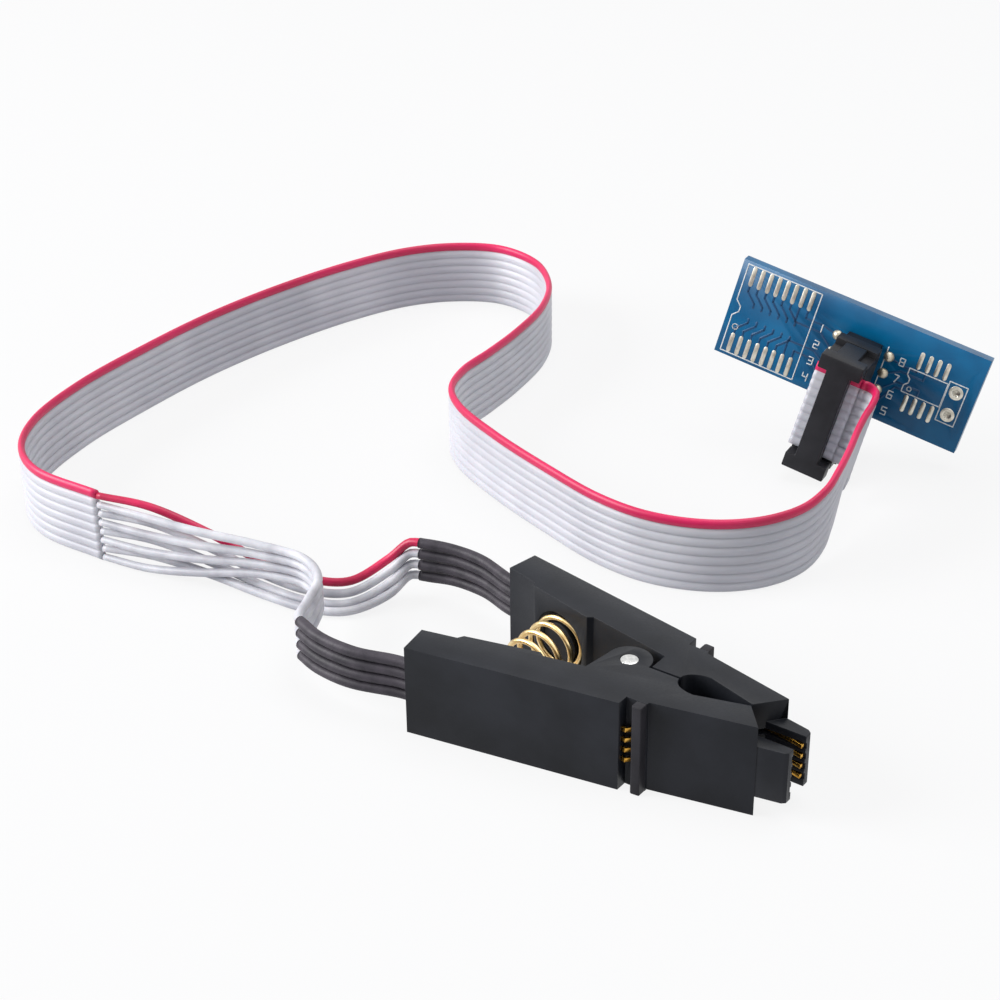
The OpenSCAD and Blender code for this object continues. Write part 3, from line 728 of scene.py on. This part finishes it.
tracks = [track(large_field[i], s * LARGE_TRACK_Y, s * level, LEFT_BEND, left, row)
          for i, s, level, row in ((7, 1, 2.6, 0), (6, 1, 1.5, 1), (7, -1, 2.6, 3), (6, -1, 1.4, 2))]
tracks += [track(small_field[i], s * SMALL_TRACK_Y, s * level, RIGHT_BEND, right, row)
           for i, s, level, row in ((0, 1, 1.6, 0), (1, 1, 0.8, 1), (0, -1, 1.6, 3), (1, -1, 0.8, 2))]
tracks += [[(x, s * LARGE_TRACK_Y), (x, s * 2.9), (x + 1.4, s * 1.5), (x + 1.4, s * 0.9)]
           for x in large_field[:6] for s in (-1, 1)]
strokes("mask_tracks", tracks, TRACK_W, TRACK_TOP, TRACK)
pads = [[(x, s * y) for y in LARGE_PAD] for x in large_field for s in (-1, 1)]
pads += [[(x, s * y) for y in SMALL_PAD] for x in small_field for s in (-1, 1)]
strokes("tinned_pads", pads, PAD_W, PAD_TOP, TIN)


def circle(middle, radius):
    """Corners of a printed circle, the first one again at the end."""
    a = np.arange(19) * 2 * math.pi / 18
    return (np.array(middle) + radius * np.column_stack([np.cos(a), np.sin(a)])).tolist()


def notched_box(x0, x1, half, mouth, bottom, depth):
    """A box with a notch in the middle of its end at x0: half its mouth, half its bottom, depth."""
    return [(x0, -half), (x1, -half), (x1, half), (x0, half), (x0, mouth), (x0 + depth, bottom),
            (x0 + depth, -bottom), (x0, -mouth), (x0, -half)]


# the two chip fields with the dot at pin 1, the line beside the connector, the power box
prints = [notched_box(0.8, 11.9, 6.7, 1.2, 0.4, 0.8), circle((1.8, -2.7), 0.4),
          notched_box(26.6, 32.2, 1.8, 0.8, 0.3, 0.5), circle((27.5, -1.1), 0.3),
          [(right - 0.5, rows[0] + 1.3), (right - 0.5, rows[3] - 1.2)],
          [(32.3, -3.7), (34.9, -3.7), (34.9, 2.3), (32.3, 2.3), (32.3, -3.7)]]
# each digit's strokes in a box 0.6 wide and 1 high
digit_strokes = {
    1: [[(0.3, 1), (0.3, 0)]],
    2: [[(0, 1), (0.6, 1), (0.6, 0.5), (0, 0.5), (0, 0), (0.6, 0)]],
    3: [[(0, 1), (0.6, 1), (0.6, 0), (0, 0)], [(0.1, 0.5), (0.6, 0.5)]],
    4: [[(0, 1), (0, 0.5), (0.6, 0.5)], [(0.6, 1), (0.6, 0)]],
    5: [[(0.6, 1), (0, 1), (0, 0.5), (0.6, 0.5), (0.6, 0), (0, 0)]],
    6: [[(0.6, 1), (0, 1), (0, 0), (0.6, 0), (0.6, 0.5), (0, 0.5)]],
    7: [[(0, 1), (0.6, 1), (0.2, 0)]],
    8: [[(0, 0), (0, 1), (0.6, 1), (0.6, 0), (0, 0)], [(0, 0.5), (0.6, 0.5)]],
}
DIGIT = 1.1
for k in range(4):
    for digit, x in ((k + 1, left - 2.7), (8 - k, right + 1.6)):
        for line in digit_strokes[digit]:
            prints.append([(x + DIGIT * px, rows[k] + DIGIT * (py - 0.5)) for px, py in line])
strokes("white_outlines", prints, INK_W, INK_TOP, INK)

# ---------------------------------------------------------------- solder
# The pins' ends come through the board inside low domes of dull solder. A tinned ring lies
# round each power hole.
SOLDER = grained_look("dull_solder", 0.4, 800.0, linear(176, 166, 146), linear(214, 206, 188),
                      bump=(1700.0, 0.3, 0.00008), metallic=0.85)
# profiles are (radius, height over the solder mask) in millimetres
DOME = [(0.02, 0.555), (0.16, 0.545), (0.34, 0.48), (0.52, 0.35), (0.66, 0.18), (0.755, 0.02), (0.755, -0.02)]
RIM = [(0.52, -0.02), (0.52, 0.03), (0.6, 0.04), (0.95, 0.04), (1.0, 0.02), (1.0, -0.02)]
POWER_HOLES = [(33.6, -2.4), (33.6, 1.0)]


def turned_on_board(name, profile, places, sides, look):
    """The profile turned round the board's normal at each place, as one piece."""
    shapes = [turned("one", np.array(profile) * MM, on_board(np.array([[x, y, 0]]) * MM)[0],
                     BOARD_TURN[:, 2], BOARD_TURN[:, 0], sides) for x, y in places]
    group = joined(name, shapes)
    wear(group, look)
    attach(group, "adapter_board")
    return group


domes = turned_on_board("solder_domes", DOME, [(x, y) for y in rows for x in (left, right)], 24, SOLDER)
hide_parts("dip_solder")
turned_on_board("power_hole_rings", RIM, POWER_HOLES, 28, TIN)
